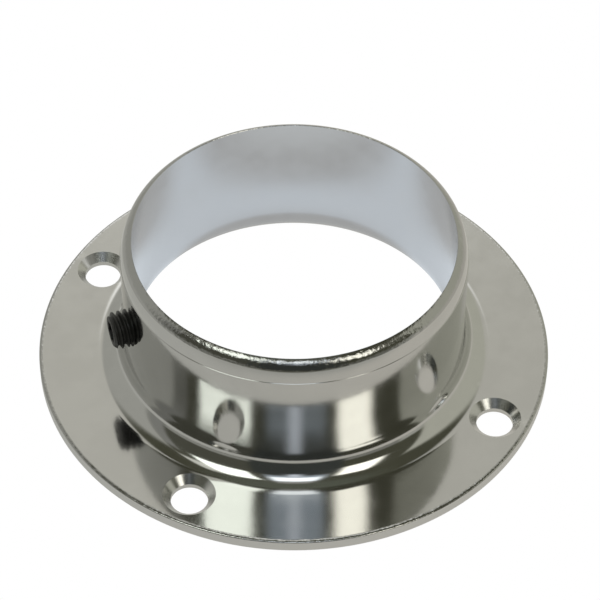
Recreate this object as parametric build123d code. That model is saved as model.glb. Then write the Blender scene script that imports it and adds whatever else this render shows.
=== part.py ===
from build123d import *
import math
import os

# Tube clamp base flange: a drawn sheet-metal foot for a round tube.
# Frame: origin at the centre of the underside, +Z up along the tube's axis.
# The screw holes lie on the diagonals, and the set screw points along -X.
# All dimensions in millimetres, and a "tilt" is how far an outside surface's
# normal rises above the horizontal, in degrees.

# ---- round plate ----
PLATE_R = 41.0          # outside radius of the plate
PLATE_T = 2.0           # sheet thickness at the plate
RIM_ROUND_R = 0.6       # rolled-over upper edge of the blank, along the plate
RIM_ROUND_Z = 0.25      # and down its edge
UNDER_ROUND = 0.12      # lower edge of the blank

# ---- collar ----
BORE_R = 25.3           # bore for a 50 mm tube
BEND_R = 4.5            # bend between plate and collar, on the upper face
BEND_END_R = 31.84      # where that bend leaves the flat of the plate
UNDER_BEND_R = 6.4      # the same bend on the underside
WAIST_R = 147.0         # the wall is drawn in to a very slight waist
WAIST_TILT_0 = 2.5      # tilt at the foot of the wall
WAIST_TILT_1 = 0.1      # tilt of the wall at its waist
WALL_Z = 16.0           # height at which the wall turns over the waist
FLARE_R = 131.0         # radius of that turn, in section
FLARE_TILT = -0.1       # tilt at the top of the wall, below the crease
CREASE_TILT = 56.0      # the crease is a very small step, with this tilt
CREASE_ROUND = 0.04     # its upper edge
CREASE_FLAT = 0.04      # its flank
CREASE_FOOT = 0.06      # its foot
LIP_TILT_0 = 1.6        # tilt just above the crease
LIP_TILT_1 = 21.0       # tilt at the top of the lip's flank
LIP_R = 6.8             # radius of the lip's flank, in section
MOUTH_TILT = 70.0       # tilt at the mouth's inner edge
MOUTH_ROUND = 2.25      # rounding of the mouth, in section
TOP_Z = 26.0            # overall height
MOUTH_BREAK = 0.05      # broken inner edge of the mouth

# ---- countersunk screw holes ----
HOLE_COUNT = 4
HOLE_PCD = 71.0         # circle through the hole centres
HOLE_R = 2.9            # through hole
CSK_R = 4.1             # countersink at the upper face, 90 degree cone
HOLE_START = 45.0       # first hole's angle from +X

# ---- set screw, M6 x 4, hexagon socket ----
SCREW_ANGLE = 180.0     # direction in which its socket end points
SCREW_Z = 14.4          # height of its axis
SCREW_R = 2.97          # over the thread crests
SCREW_BORE_R = 3.02     # cross hole, to the roots of its thread
SCREW_LEN = 4.4
SCREW_OUT = 30.0        # distance of its socket end from the tube's axis
SCREW_CHAMFER = 0.6
SOCKET_AF = 3.0         # hexagon socket across flats
SOCKET_DEPTH = 2.0
CUP_R = 1.5             # cup point
CUP_DEPTH = 0.5


def polar(radius, tilt):
    a = math.radians(tilt)
    return (radius * math.cos(a), radius * math.sin(a))


def arc(start, radius, tilt_0, tilt_1):
    # Middle and end of an arc of the outside surface that starts at a point
    # and turns from one tilt to another. A negative radius is a hollow arc.
    s = polar(radius, tilt_0)
    centre = (start[0] - s[0], start[1] - s[1])
    mid = polar(radius, (tilt_0 + tilt_1) / 2)
    end = polar(radius, tilt_1)
    return ((centre[0] + mid[0], centre[1] + mid[1]),
            (centre[0] + end[0], centre[1] + end[1]))


def flange():
    # Section of the pressing, drawn as (radius, height) and turned about Z.
    k = math.sqrt(0.5)

    rim_low = (PLATE_R, PLATE_T - RIM_ROUND_Z)
    rim_mid = (PLATE_R - RIM_ROUND_R * (1 - k), PLATE_T - RIM_ROUND_Z * (1 - k))
    rim_top = (PLATE_R - RIM_ROUND_R, PLATE_T)

    # plate, bend and wall
    bend_0 = (BEND_END_R, PLATE_T)
    bend_m, bend_1 = arc(bend_0, -BEND_R, 90.0, WAIST_TILT_0)
    waist_m, waist_1 = arc(bend_1, -WAIST_R, WAIST_TILT_0, WAIST_TILT_1)

    wall_1 = (waist_1[0] - (WALL_Z - waist_1[1]) * math.tan(math.radians(WAIST_TILT_1)), WALL_Z)
    flare_m, flare_1 = arc(wall_1, -FLARE_R, WAIST_TILT_1, FLARE_TILT)

    # the lip is measured down from the mouth
    flat = polar(CREASE_FLAT, CREASE_TILT + 90)
    rise = (arc((0, 0), CREASE_ROUND, FLARE_TILT, CREASE_TILT)[1][1] + flat[1]
            + arc((0, 0), -CREASE_FOOT, CREASE_TILT, LIP_TILT_0)[1][1]
            + arc((0, 0), LIP_R, LIP_TILT_0, LIP_TILT_1)[1][1]
            + arc((0, 0), MOUTH_ROUND, LIP_TILT_1, MOUTH_TILT)[1][1])
    crease_z = TOP_Z - rise
    crease_0 = (flare_1[0] - (crease_z - flare_1[1]) * math.tan(math.radians(FLARE_TILT)), crease_z)
    step_m, step_1 = arc(crease_0, CREASE_ROUND, FLARE_TILT, CREASE_TILT)
    step_2 = (step_1[0] + flat[0], step_1[1] + flat[1])
    foot_m, crease_1 = arc(step_2, -CREASE_FOOT, CREASE_TILT, LIP_TILT_0)
    lip_m, lip_1 = arc(crease_1, LIP_R, LIP_TILT_0, LIP_TILT_1)
    mouth_m, mouth_1 = arc(lip_1, MOUTH_ROUND, LIP_TILT_1, MOUTH_TILT)
    mouth_in = (BORE_R, mouth_1[1] - MOUTH_BREAK)

    # bore and underside
    under_c = (BORE_R + UNDER_BEND_R, UNDER_BEND_R)
    bore_low = (BORE_R, UNDER_BEND_R)
    under_m = (under_c[0] - UNDER_BEND_R * k, under_c[1] - UNDER_BEND_R * k)
    under_0 = (under_c[0], 0.0)
    edge_0 = (PLATE_R - UNDER_ROUND, 0.0)
    edge_m = (PLATE_R - UNDER_ROUND * (1 - k), UNDER_ROUND * (1 - k))
    edge_1 = (PLATE_R, UNDER_ROUND)

    with BuildSketch(Plane.XZ) as sk:
        with BuildLine() as ln:
            Line(edge_1, rim_low)
            Spline(rim_low, rim_mid, rim_top, tangents=[(0, 1), (-1, 0)])
            Line(rim_top, bend_0)
            ThreePointArc(bend_0, bend_m, bend_1)
            ThreePointArc(bend_1, waist_m, waist_1)
            Line(waist_1, wall_1)
            ThreePointArc(wall_1, flare_m, flare_1)
            Line(flare_1, crease_0)
            ThreePointArc(crease_0, step_m, step_1)
            Line(step_1, step_2)
            ThreePointArc(step_2, foot_m, crease_1)
            ThreePointArc(crease_1, lip_m, lip_1)
            ThreePointArc(lip_1, mouth_m, mouth_1)
            Line(mouth_1, mouth_in)
            Line(mouth_in, bore_low)
            ThreePointArc(bore_low, under_m, under_0)
            Line(under_0, edge_0)
            ThreePointArc(edge_0, edge_m, edge_1)
        make_face()
    body = revolve(sk.sketch, Axis.Z)

    # countersunk holes
    csk_depth = CSK_R - HOLE_R
    for n_hole in range(HOLE_COUNT):
        ang = math.radians(HOLE_START + n_hole * 360.0 / HOLE_COUNT)
        x, y = HOLE_PCD / 2 * math.cos(ang), HOLE_PCD / 2 * math.sin(ang)
        drill = Pos(x, y, PLATE_T / 2) * Cylinder(HOLE_R, PLATE_T + 4)
        sink = Pos(x, y, PLATE_T - csk_depth / 2 + 0.25) * Cone(HOLE_R, CSK_R + 0.5, csk_depth + 0.5)
        body = body - drill - sink

    # threaded cross hole for the set screw
    body = body - screw_place(27.5) * Cylinder(SCREW_BORE_R, 9.0)
    return body


def screw_place(radius):
    # A place on the screw's axis with local +Z pointing outwards.
    ang = math.radians(SCREW_ANGLE)
    out = Vector(math.cos(ang), math.sin(ang), 0)
    return Plane(origin=(radius * out.X, radius * out.Y, SCREW_Z), x_dir=(0, 0, 1), z_dir=out).location


def set_screw():
    body = Cylinder(SCREW_R, SCREW_LEN)
    ends = body.edges().filter_by(GeomType.CIRCLE)
    body = chamfer(ends, SCREW_CHAMFER)
    socket = extrude(RegularPolygon(SOCKET_AF / 2, 6, major_radius=False), SOCKET_DEPTH)
    body = body - Pos(0, 0, SCREW_LEN / 2 - SOCKET_DEPTH) * socket
    body = body - Pos(0, 0, -SCREW_LEN / 2 + CUP_DEPTH / 2) * Cone(CUP_R, CUP_R - CUP_DEPTH, CUP_DEPTH)
    return screw_place(SCREW_OUT - SCREW_LEN / 2) * body


os.makedirs("parts", exist_ok=True)
export_step(flange(), "parts/flange.step")
export_step(set_screw(), "parts/set_screw.step")
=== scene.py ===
import math

import bmesh
import bpy
import numpy as np
from mathutils import Matrix, Vector


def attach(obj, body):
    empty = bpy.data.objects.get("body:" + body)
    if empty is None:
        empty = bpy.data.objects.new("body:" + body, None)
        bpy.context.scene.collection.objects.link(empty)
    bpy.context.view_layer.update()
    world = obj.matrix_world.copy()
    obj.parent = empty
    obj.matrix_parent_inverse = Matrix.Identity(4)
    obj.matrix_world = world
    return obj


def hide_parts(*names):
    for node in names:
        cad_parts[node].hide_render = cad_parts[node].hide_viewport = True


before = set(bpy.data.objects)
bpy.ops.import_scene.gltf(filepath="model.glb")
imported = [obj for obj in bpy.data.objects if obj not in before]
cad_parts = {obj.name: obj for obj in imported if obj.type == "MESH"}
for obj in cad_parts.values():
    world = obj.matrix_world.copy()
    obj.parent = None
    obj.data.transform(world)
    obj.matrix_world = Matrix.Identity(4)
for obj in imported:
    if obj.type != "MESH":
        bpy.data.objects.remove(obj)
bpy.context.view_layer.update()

MM = 0.001

# ---- the flange's section: radius, height, and the tilts of its outside ----
PLATE_R, PLATE_T = 41.0, 2.0
RIM_R, RIM_Z, UNDER_ROUND = 0.6, 0.25, 0.12
BORE_R = 25.3
BEND_R, BEND_END_R, UNDER_BEND_R = 4.5, 31.84, 6.4
WAIST_R, WAIST_TILT_0, WAIST_TILT_1 = 147.0, 2.5, 0.1
WALL_Z, FLARE_R, FLARE_TILT = 16.0, 131.0, -0.1
CREASE_TILT, CREASE_ROUND, CREASE_FLAT, CREASE_FOOT = 56.0, 0.04, 0.04, 0.06
LIP_TILT_0, LIP_TILT_1, LIP_R = 1.6, 21.0, 6.8
MOUTH_TILT, MOUTH_ROUND, MOUTH_BREAK, TOP_Z = 70.0, 2.25, 0.05, 26.0

HOLE_R, CSK_R, HOLE_PCD, HOLE_START = 2.9, 4.1, 71.0, 45.0
SCREW_Z, SCREW_OUT, SCREW_LEN, SCREW_R = 14.4, 30.0, 4.4, 2.97
SCREW_BORE_R, SCREW_CHAMFER = 3.02, 0.62
STEPS = 448


def unit(t):
    return (math.cos(math.radians(t)), math.sin(math.radians(t)))


def arc(start, R, t0, t1, n):
    c = (start[0] - R * unit(t0)[0], start[1] - R * unit(t0)[1])
    out = []
    for k in range(n + 1):
        u = unit(t0 + (t1 - t0) * k / n)
        out.append((c[0] + R * u[0], c[1] + R * u[1], u[0], u[1]))
    return out


def line(a, b, n, nr, nz):
    return [(a[0] + (b[0] - a[0]) * k / n, a[1] + (b[1] - a[1]) * k / n, nr, nz) for k in range(n + 1)]


def section():
    # Segments of (r, z, nr, nz), each with the index of its material.
    S = []
    S.append((2, line((PLATE_R, UNDER_ROUND), (PLATE_R, PLATE_T - RIM_Z), 2, 1, 0)))
    e = []
    for k in range(9):
        t = math.pi / 2 * k / 8
        c, s = math.cos(t), math.sin(t)
        h = math.hypot(c / RIM_R, s / RIM_Z)
        e.append((PLATE_R - RIM_R + RIM_R * c, PLATE_T - RIM_Z + RIM_Z * s, c / RIM_R / h, s / RIM_Z / h))
    S.append((3, e))
    b0 = (BEND_END_R, PLATE_T)
    S.append((0, line((PLATE_R - RIM_R, PLATE_T), b0, 4, 0, 1)))
    S.append((0, arc(b0, -BEND_R, 90, WAIST_TILT_0, 36)))
    S.append((0, arc(S[-1][1][-1][:2], -WAIST_R, WAIST_TILT_0, WAIST_TILT_1, 7)))
    w = S[-1][1][-1][:2]
    t = math.radians(WAIST_TILT_1)
    wall = (w[0] - (WALL_Z - w[1]) * math.tan(t), WALL_Z)
    S.append((0, line(w, wall, 2, math.cos(t), math.sin(t))))
    S.append((0, arc(wall, -FLARE_R, WAIST_TILT_1, FLARE_TILT, 7)))
    f = S[-1][1][-1][:2]

    def rise(R, a, b):
        return R * (unit(b)[1] - unit(a)[1])

    cu = unit(CREASE_TILT)
    flat = (-CREASE_FLAT * cu[1], CREASE_FLAT * cu[0])
    cz = (TOP_Z - rise(MOUTH_ROUND, LIP_TILT_1, MOUTH_TILT) - rise(LIP_R, LIP_TILT_0, LIP_TILT_1)
          - rise(CREASE_ROUND, FLARE_TILT, CREASE_TILT) - flat[1] - rise(-CREASE_FOOT, CREASE_TILT, LIP_TILT_0))
    t = math.radians(FLARE_TILT)
    c0 = (f[0] - (cz - f[1]) * math.tan(t), cz)
    S.append((0, line(f, c0, 1, math.cos(t), math.sin(t))))
    S.append((0, arc(c0, CREASE_ROUND, FLARE_TILT, CREASE_TILT, 3)))
    s1 = S[-1][1][-1][:2]
    s2 = (s1[0] + flat[0], s1[1] + flat[1])
    S.append((0, [(*s1, *cu), (*s2, *cu)]))
    S.append((0, arc(s2, -CREASE_FOOT, CREASE_TILT, LIP_TILT_0, 3)))
    S.append((0, arc(S[-1][1][-1][:2], LIP_R, LIP_TILT_0, LIP_TILT_1, 10)))
    S.append((3, arc(S[-1][1][-1][:2], MOUTH_ROUND, LIP_TILT_1, MOUTH_TILT, 14)))
    m = S[-1][1][-1][:2]
    mi = (BORE_R, m[1] - MOUTH_BREAK)
    dx, dz = mi[1] - m[1], m[0] - mi[0]
    h = math.hypot(dx, dz)
    S.append((3, [(*m, dx / h, dz / h), (*mi, dx / h, dz / h)]))
    lo = (BORE_R, UNDER_BEND_R)
    S.append((1, line(mi, lo, 6, -1, 0)))
    S.append((1, arc(lo, UNDER_BEND_R, 180, 270, 28)))
    S.append((1, line(S[-1][1][-1][:2], (PLATE_R - UNDER_ROUND, 0.0), 3, 0, -1)))
    S.append((2, arc((PLATE_R - UNDER_ROUND, 0.0), UNDER_ROUND, -90, 0, 4)))
    return S


def link(name, me):
    o = bpy.data.objects.new(name, me)
    bpy.context.scene.collection.objects.link(o)
    return o


def lathe(name, segs, N):
    pts, mats = [], []
    for mat, s in segs:
        for q in s[:-1]:
            pts.append(q[:2])
            mats.append(mat)
    A = np.array(pts)
    M = len(pts)
    th = np.arange(N) * 2 * np.pi / N
    V = np.stack([A[None, :, 0] * np.cos(th)[:, None], A[None, :, 0] * np.sin(th)[:, None],
                  np.broadcast_to(A[None, :, 1], (N, M))], -1).reshape(-1, 3) * MM
    i = np.arange(N)[:, None]
    j = np.arange(M)[None, :]
    i2, j2 = (i + 1) % N, (j + 1) % M
    F = np.stack([i * M + j, i2 * M + j, i2 * M + j2, i * M + j2], -1).reshape(-1, 4)
    me = bpy.data.meshes.new(name)
    me.from_pydata(V.tolist(), [], F.tolist())
    me.polygons.foreach_set("material_index", np.tile(np.array(mats, np.int32), N))
    me.update()
    return link(name, me)


def small_lathe(name, prof, N, place):
    # Closed solid about local Z from (r, z) points that start and end on the axis.
    V, F, rows = [], [], []
    for r, z in prof:
        if r < 1e-9:
            rows.append([len(V)])
            V.append((0, 0, z))
        else:
            row = []
            for k in range(N):
                a = 2 * math.pi * k / N
                row.append(len(V))
                V.append((r * math.cos(a), r * math.sin(a), z))
            rows.append(row)
    for a, b in zip(rows[:-1], rows[1:]):
        for k in range(N):
            k2 = (k + 1) % N
            if len(a) == 1 and len(b) == 1:
                continue
            if len(a) == 1:
                F.append((a[0], b[k2], b[k]))
            elif len(b) == 1:
                F.append((a[k], a[k2], b[0]))
            else:
                F.append((a[k], a[k2], b[k2], b[k]))
    me = bpy.data.meshes.new(name)
    me.from_pydata([tuple(place @ (Vector(v) * MM)) for v in V], [], F)
    bm = bmesh.new()
    bm.from_mesh(me)
    bmesh.ops.recalc_face_normals(bm, faces=bm.faces)
    bm.to_mesh(me)
    bm.free()
    return link(name, me)


def boolean(a, b, op):
    m = a.modifiers.new("cut", "BOOLEAN")
    m.operation, m.object, m.solver, m.material_mode = op, b, "EXACT", "TRANSFER"
    dg = bpy.context.evaluated_depsgraph_get()
    me = bpy.data.meshes.new_from_object(a.evaluated_get(dg))
    old = a.data
    a.modifiers.clear()
    a.data = me
    bpy.data.meshes.remove(old)
    bpy.data.objects.remove(b)


def loop_normals(o, segs, cut_index):
    # Exact normals of the turned section, and of the hole walls and cones.
    me = o.data
    nl, nv, npoly = len(me.loops), len(me.vertices), len(me.polygons)
    co = np.zeros(nv * 3, np.float32)
    me.vertices.foreach_get("co", co)
    co = co.reshape(-1, 3).astype(float) / MM
    vi = np.zeros(nl, np.int32)
    me.loops.foreach_get("vertex_index", vi)
    lt = np.zeros(npoly, np.int32)
    me.polygons.foreach_get("loop_total", lt)
    mi = np.zeros(npoly, np.int32)
    me.polygons.foreach_get("material_index", mi)
    fn = np.zeros(npoly * 3, np.float32)
    me.polygons.foreach_get("normal", fn)
    fn = fn.reshape(-1, 3)
    pol = np.repeat(np.arange(npoly), lt)
    r, z = np.hypot(co[:, 0], co[:, 1]), co[:, 2]
    fr = np.bincount(pol, r[vi], npoly) / lt
    fz = np.bincount(pol, z[vi], npoly) / lt
    best, which = np.full(npoly, 1e9), np.zeros(npoly, int)
    arrs = [np.array(s, float) for _, s in segs]
    for k, s in enumerate(arrs):
        for q in range(len(s) - 1):
            a, b = s[q, :2], s[q + 1, :2]
            ab = b - a
            t = np.clip(((fr - a[0]) * ab[0] + (fz - a[1]) * ab[1]) / (ab ** 2).sum(), 0, 1)
            d = np.hypot(fr - a[0] - t * ab[0], fz - a[1] - t * ab[1])
            m = d < best
            best[m], which[m] = d[m], k
    out = fn[pol].astype(float)
    for k, s in enumerate(arrs):
        L = np.nonzero((which[pol] == k) & (mi[pol] != cut_index))[0]
        if not len(L):
            continue
        rr, zz = r[vi[L]], z[vi[L]]
        near, nr, nz = np.full(len(L), 1e9), np.zeros(len(L)), np.zeros(len(L))
        for q in range(len(s) - 1):
            a, b = s[q, :2], s[q + 1, :2]
            ab = b - a
            t = np.clip(((rr - a[0]) * ab[0] + (zz - a[1]) * ab[1]) / (ab ** 2).sum(), 0, 1)
            d = np.hypot(rr - a[0] - t * ab[0], zz - a[1] - t * ab[1])
            m = d < near - 1e-9
            near[m] = d[m]
            x = (1 - t) * s[q, 2] + t * s[q + 1, 2]
            y = (1 - t) * s[q, 3] + t * s[q + 1, 3]
            h = np.hypot(x, y)
            nr[m], nz[m] = (x / h)[m], (y / h)[m]
        cx, cy = co[vi[L], 0] / rr, co[vi[L], 1] / rr
        out[L] = np.stack([nr * cx, nr * cy, nz], 1)
    L = np.nonzero(mi[pol] == cut_index)[0]
    for k in range(4):
        a = math.radians(HOLE_START + 90 * k)
        dx = co[vi[L], 0] - HOLE_PCD / 2 * math.cos(a)
        dy = co[vi[L], 1] - HOLE_PCD / 2 * math.sin(a)
        rr = np.hypot(dx, dy)
        near = rr < 6
        cone = fn[pol[L]][:, 2] > 0.3
        nr = np.where(cone, -math.sqrt(0.5), -1.0) / np.maximum(rr, 1e-9)
        nz = np.where(cone, math.sqrt(0.5), 0.0)
        out[L[near]] = np.stack([nr * dx, nr * dy, nz], 1)[near]
    me.polygons.foreach_set("use_smooth", np.ones(npoly, bool))
    me.normals_split_custom_set([tuple(v) for v in out])


# ---- node helpers ----
class Nodes:
    def __init__(self, tree):
        self.t = tree
        tree.nodes.clear()

    def new(self, kind, **props):
        n = self.t.nodes.new(kind)
        for k, v in props.items():
            setattr(n, k, v)
        return n

    def put(self, socket, v):
        if isinstance(v, bpy.types.NodeSocket):
            self.t.links.new(v, socket)
        else:
            socket.default_value = v

    def math(self, op, a, b=0.0, clamp=False):
        n = self.new("ShaderNodeMath", operation=op, use_clamp=clamp)
        self.put(n.inputs[0], a)
        self.put(n.inputs[1], b)
        return n.outputs[0]

    def step(self, v, a, b):
        n = self.new("ShaderNodeMapRange", interpolation_type="SMOOTHSTEP")
        self.put(n.inputs["Value"], v)
        if a <= b:
            lo, hi, to = a, b, (0.0, 1.0)
        else:
            lo, hi, to = b, a, (1.0, 0.0)
        n.inputs["From Min"].default_value, n.inputs["From Max"].default_value = lo, hi
        n.inputs["To Min"].default_value, n.inputs["To Max"].default_value = to
        return n.outputs["Result"]

    def mix(self, f, a, b):
        n = self.new("ShaderNodeMix", data_type="RGBA")
        self.put(n.inputs[0], f)
        for s, v in ((n.inputs[6], a), (n.inputs[7], b)):
            self.put(s, v if isinstance(v, bpy.types.NodeSocket) else (*v, 1.0))
        return n.outputs[2]

    def noise(self, vec, scale, detail=3.0):
        n = self.new("ShaderNodeTexNoise")
        self.put(n.inputs["Vector"], vec)
        n.inputs["Scale"].default_value, n.inputs["Detail"].default_value = scale, detail
        return n.outputs["Fac"]


def metal(name, colour, rough_0, rough_1, bump, grain, edge=None, metallic=1.0):
    # Plated or blackened steel with varying roughness, fine texture and worn edges.
    m = bpy.data.materials.new(name)
    m.use_nodes = True
    g = Nodes(m.node_tree)
    pos = g.new("ShaderNodeTexCoord").outputs["Object"]
    cloud = g.noise(pos, 260.0)
    fine = g.noise(pos, grain, 5.0)
    worn = g.math("MULTIPLY", g.step(g.new("ShaderNodeNewGeometry").outputs["Pointiness"], 0.53, 0.62), 0.5)
    bsdf = g.new("ShaderNodeBsdfPrincipled")
    base = g.mix(g.step(cloud, 0.35, 0.65), [c * 0.97 for c in colour], colour)
    g.put(bsdf.inputs["Base Color"], g.mix(worn, base, edge or [min(1, c * 1.1) for c in colour]))
    bsdf.inputs["Metallic"].default_value = metallic
    n = g.new("ShaderNodeMapRange")
    g.put(n.inputs["Value"], cloud)
    n.inputs["From Min"].default_value, n.inputs["From Max"].default_value = 0.3, 0.7
    n.inputs["To Min"].default_value, n.inputs["To Max"].default_value = rough_0, rough_1
    g.put(bsdf.inputs["Roughness"], g.math("ADD", n.outputs["Result"], g.math("MULTIPLY", worn, 0.08)))
    b = g.new("ShaderNodeBump")
    b.inputs["Strength"].default_value = 1.0
    b.inputs["Distance"].default_value = bump
    g.put(b.inputs["Height"], fine)
    g.put(bsdf.inputs["Normal"], b.outputs["Normal"])
    g.put(g.new("ShaderNodeOutputMaterial").inputs["Surface"], bsdf.outputs[0])
    return m


chrome = metal("bright_plate", (0.63, 0.63, 0.62), 0.08, 0.12, 0.0000022, 1500.0)
lip = metal("worn_lip_plate", (0.50, 0.50, 0.49), 0.07, 0.14, 0.00008, 1300.0)
satin = metal("satin_plate", (0.60, 0.60, 0.60), 0.17, 0.25, 0.000004, 2600.0)
edge = metal("cut_edge_plate", (0.72, 0.72, 0.72), 0.36, 0.46, 0.000008, 1800.0)
sink = metal("countersink_plate", (0.66, 0.66, 0.65), 0.18, 0.28, 0.000004, 2200.0)
black = metal("black_oxide", (0.045, 0.045, 0.042), 0.38, 0.52, 0.000006, 2400.0,
              edge=(0.10, 0.10, 0.10), metallic=0.6)

# ---- flange ----
segs = section()
flange = lathe("flange_body", segs, STEPS)
for m in (chrome, satin, edge, lip):
    flange.data.materials.append(m)
for k in range(4):
    a = math.radians(HOLE_START + 90 * k)
    place = Matrix.Translation(Vector((HOLE_PCD / 2 * math.cos(a), HOLE_PCD / 2 * math.sin(a), 0)) * MM)
    cut = small_lathe("cut", [(0, -1), (HOLE_R, -1), (HOLE_R, PLATE_T - CSK_R + HOLE_R), (CSK_R, PLATE_T),
                              (CSK_R + 0.001, PLATE_T + 1), (0, PLATE_T + 1)], 128, place)
    cut.data.materials.append(sink)
    boolean(flange, cut, "DIFFERENCE")
outward = Vector((-1, 0, 0))
up = Vector((0, 0, 1))
screw_turn = Matrix((up, outward.cross(up), outward)).transposed().to_4x4()
place = Matrix.Translation(up * SCREW_Z * MM) @ screw_turn
cut = small_lathe("cut", [(0, 20), (SCREW_BORE_R, 20), (SCREW_BORE_R, 35), (0, 35)], 96, place)
cut.data.materials.append(sink)
boolean(flange, cut, "DIFFERENCE")
loop_normals(flange, segs, [m.name for m in flange.data.materials].index(sink.name))


# ---- set screw: M6 x 1 right-hand thread, hexagon socket, cup point ----
def set_screw():
    depth, pitch, seg = 0.58, 1.0, 96
    shape = [(0.0, 0.0), (0.0625, 0.0), (0.14, 0.25), (0.218, 0.5), (0.296, 0.75), (0.375, 1.0),
             (0.5, 1.0), (0.625, 1.0), (0.704, 0.75), (0.782, 0.5), (0.86, 0.25), (0.9375, 0.0)]
    turns = int(SCREW_LEN / pitch) + 3
    rows = [((t + f) * pitch, SCREW_R - depth * d) for t in range(turns) for f, d in shape]
    M, ns, V, F = len(rows), len(shape), [], []
    for i in range(seg):
        a = 2 * math.pi * i / seg
        for z, r in rows:
            V.append((r * math.cos(a), r * math.sin(a), z + pitch * i / seg - 1.5 * pitch))
    for i in range(seg):
        for j in range(M - 1):
            if i < seg - 1:
                F.append((i * M + j, (i + 1) * M + j, (i + 1) * M + j + 1, i * M + j + 1))
            elif j + 1 + ns < M:
                F.append((i * M + j, j + ns, j + 1 + ns, i * M + j + 1))
    low = [i * M for i in range(seg)] + [k for k in range(ns, 0, -1)]
    V.append((0, 0, -2.5 * pitch))
    c = len(V) - 1
    F += [(b, a, c) for a, b in zip(low, low[1:] + low[:1])]
    top = [i * M + M - 1 for i in range(seg)] + [(seg - 1) * M + k for k in range(M - 2, M - 2 - ns, -1)]
    V.append((0, 0, (turns + 2) * pitch))
    c = len(V) - 1
    F += [(a, b, c) for a, b in zip(top, top[1:] + top[:1])]
    me = bpy.data.meshes.new("set_screw_thread")
    me.from_pydata([(x * MM, y * MM, z * MM) for x, y, z in V], [], F)
    bm = bmesh.new()
    bm.from_mesh(me)
    bmesh.ops.recalc_face_normals(bm, faces=bm.faces)
    bm.to_mesh(me)
    bm.free()
    o = link("set_screw_thread", me)
    L, R0, ch = SCREW_LEN, SCREW_R, SCREW_CHAMFER
    still = Matrix.Identity(4)
    boolean(o, small_lathe("env", [(0, 0), (R0 - ch, 0), (R0 + .01, ch), (R0 + .01, L - ch), (R0 - ch, L), (0, L)],
                           96, still), "INTERSECT")
    hexr = 1.5 / math.cos(math.pi / 6)
    boolean(o, small_lathe("hex", [(0, L - 2.0), (hexr, L - 2.0), (hexr, L + 1), (0, L + 1)], 6, still), "DIFFERENCE")
    boolean(o, small_lathe("cup", [(0, 0.5), (1.5, -0.2), (0, -1)], 48, still), "DIFFERENCE")
    o.data.transform(Matrix.Translation((outward * (SCREW_OUT - L) + up * SCREW_Z) * MM) @ screw_turn)
    o.data.materials.clear()
    o.data.materials.append(black)
    for q in o.data.polygons:
        q.use_smooth, q.material_index = True, 0
    o.data.set_sharp_from_angle(angle=math.radians(25))
    return o


screw = set_screw()
for piece, node, name in ((flange, "flange", "plated_steel"), (screw, "set_screw", "black_steel")):
    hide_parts(node)
    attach(piece, "root")

# ---- floor: glows, plain white to the camera, with painted light and shade seen in reflections ----
me = bpy.data.meshes.new("floor")
s = 1.5
me.from_pydata([(-s, -s, -0.00005), (s, -s, -0.00005), (s, s, -0.00005), (-s, s, -0.00005)], [], [(0, 1, 2, 3)])
floor = link("floor", me)
mat = bpy.data.materials.new("pale_floor_with_painted_light")
mat.use_nodes = True
g = Nodes(mat.node_tree)
pos = g.new("ShaderNodeTexCoord").outputs["Object"]
turn = g.new("ShaderNodeVectorRotate", rotation_type="Z_AXIS")
turn.inputs["Angle"].default_value = math.radians(18.4)
g.put(turn.inputs["Vector"], pos)
xyz = g.new("ShaderNodeSeparateXYZ")
g.put(xyz.inputs[0], turn.outputs[0])
fx, fy = xyz.outputs[0], xyz.outputs[1]
# Painted light by place, seen only in reflections: warmer on one side near the flange, falling off away from it and
# going near black in front.
near = g.mix(g.step(fx, -0.06, 0.06), (0.52, 0.52, 0.48), (0.60, 0.58, 0.52))
floor_painted_light = g.mix(g.step(fy, -0.12, -0.04), (0.46, 0.46, 0.42), near)
floor_painted_light = g.mix(g.step(fy, -0.20, -0.14), (0.07, 0.07, 0.05), floor_painted_light)
flat = g.new("ShaderNodeVectorMath", operation="LENGTH")
g.put(flat.inputs[0], turn.outputs[0])
# Painted light on the floor under the bore: brighter in front, darker behind, with a painted bright bluish band
# towards the back.
bore_floor_painted_light = g.mix(g.step(fy, 0.000, 0.005), (0.74, 0.77, 0.78), (0.56, 0.57, 0.57))
bore_floor_painted_band = g.math("MULTIPLY", g.step(fy, 0.009, 0.014), g.step(fy, 0.022, 0.017))
bore_floor_painted_light = g.mix(bore_floor_painted_band, bore_floor_painted_light, (0.80, 0.86, 0.92))
floor_painted_light = g.mix(g.step(flat.outputs["Value"], 0.026, 0.030), bore_floor_painted_light, floor_painted_light)
# Camera rays see even white; every other ray sees the painted light above, and the floor glows though it is no lamp.
seen = g.new("ShaderNodeLightPath").outputs["Is Camera Ray"]
glow = g.new("ShaderNodeEmission")
g.put(glow.inputs["Color"], g.mix(seen, floor_painted_light, (1.0, 1.0, 1.0)))
g.put(g.new("ShaderNodeOutputMaterial").inputs["Surface"], glow.outputs[0])
me.materials.append(mat)

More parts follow.
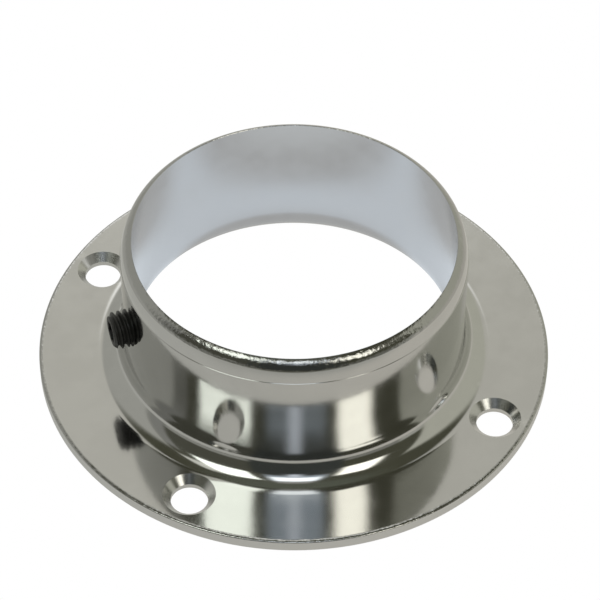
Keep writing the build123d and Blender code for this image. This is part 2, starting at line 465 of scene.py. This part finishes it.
# ---- soft studio surroundings ----
# Each panel is A0, A1, low, high, softness across, softness below, above, colour, with A
# the bearing from the front (left positive) and height above the horizon, in degrees.
PANELS = [
    (-181, -76, -5, 51, 2, 2, 4, (0.53, 0.53, 0.45)),
    (-76, -60, -5, 8, 2, 2, 3, (0.45, 0.45, 0.40)),
    (-60, -28, -5, 8, 2, 2, 3, (0.25, 0.25, 0.22)),
    (-28, 25, -5, 47, 3, 2, 3, (0.05, 0.055, 0.05)),
    (25, 76, -5, 8, 3, 2, 3, (0.33, 0.33, 0.30)),
    (25, 76, 8, 46, 3, 2, 3, (0.09, 0.09, 0.07)),
    (76, 88, -5, 49, 2, 2, 4, (0.27, 0.27, 0.25)),
    (88, 181, -5, 53, 3, 2, 5, (0.45, 0.45, 0.41)),
    (-54, -30, 33, 58, 3.5, 2, 2, (2.3, 2.25, 2.0)),
    (-22, 18, 69, 78, 3, 2, 4, (0.40, 0.40, 0.38)),
    (-22, 18, 49, 70, 4, 3, 2, (0.40, 0.46, 0.52)),
    (-5, 3, 43, 54, 4, 3, 3, (0.80, 0.86, 0.95)),
    (-20, 16, 56, 70, 3, 2, 2, (1.8, 1.9, 1.95)),
    (66, 88, 58, 70, 3, 2, 2, (0.8, 0.8, 0.72)),
    (29, 66, 47, 70, 2, 2, 2, (2.2, 2.3, 2.1)),
    (150, 181, 36, 58, 6, 3, 3, (0.62, 0.61, 0.55)),
    (-181, -150, 36, 58, 6, 3, 3, (0.59, 0.58, 0.52)),
    (160, 181, 20, 42, 4, 4, 4, (1.3, 1.3, 1.25)),
    (-181, -165, 20, 42, 4, 4, 4, (1.3, 1.3, 1.25)),
    (155, 181, 60, 75, 4, 3, 3, (1.1, 1.1, 1.05)),
    (-181, -155, 60, 75, 4, 3, 3, (1.1, 1.1, 1.05)),
]
world = bpy.data.worlds.new("studio")
bpy.context.scene.world = world
world.use_nodes = True
g = Nodes(world.node_tree)
turn = g.new("ShaderNodeVectorRotate", rotation_type="Z_AXIS")
turn.inputs["Angle"].default_value = math.radians(18.4)
g.put(turn.inputs["Vector"], g.new("ShaderNodeTexCoord").outputs["Generated"])
xyz = g.new("ShaderNodeSeparateXYZ")
g.put(xyz.inputs[0], turn.outputs[0])
wx, wy, wz = xyz.outputs
bearing = g.math("MULTIPLY", g.math("ARCTAN2", g.math("MULTIPLY", wx, -1.0), g.math("MULTIPLY", wy, -1.0)), 180 / math.pi)
height = g.math("MULTIPLY", g.math("ARCSINE", wz), 180 / math.pi)
colour = g.mix(g.step(height, 66, 82), (0.08, 0.08, 0.055), (0.12, 0.13, 0.10))
for a0, a1, lo, hi, sa, sl, sh, c in PANELS:
    m = g.math("MULTIPLY", g.step(bearing, a0 - sa, a0 + sa), g.step(bearing, a1 + sa, a1 - sa))
    m = g.math("MULTIPLY", m, g.math("MULTIPLY", g.step(height, lo - sl, lo + sl), g.step(height, hi + sh, hi - sh)))
    colour = g.mix(m, colour, c)
seen = g.new("ShaderNodeLightPath").outputs["Is Camera Ray"]
back = g.new("ShaderNodeBackground")
g.put(back.inputs["Color"], g.mix(seen, colour, (1.0, 1.0, 1.0)))
g.put(g.new("ShaderNodeOutputWorld").inputs["Surface"], back.outputs[0])

# ---- camera ----
cam = bpy.data.cameras.new("camera")
cam.lens, cam.sensor_width, cam.clip_start, cam.clip_end = 158.01, 36.0, 0.01, 100.0
eye = bpy.data.objects.new("camera", cam)
bpy.context.scene.collection.objects.link(eye)
eye.matrix_world = Matrix(((0.9497678, 0.2241566, -0.2183916, -0.0904130),
                           (-0.3129016, 0.6930953, -0.6493931, -0.2717914),
                           (0.0058004, 0.6851078, 0.7284186, 0.3163267),
                           (0, 0, 0, 1)))
bpy.context.scene.camera = eye
bpy.context.scene.view_settings.view_transform = "Standard"
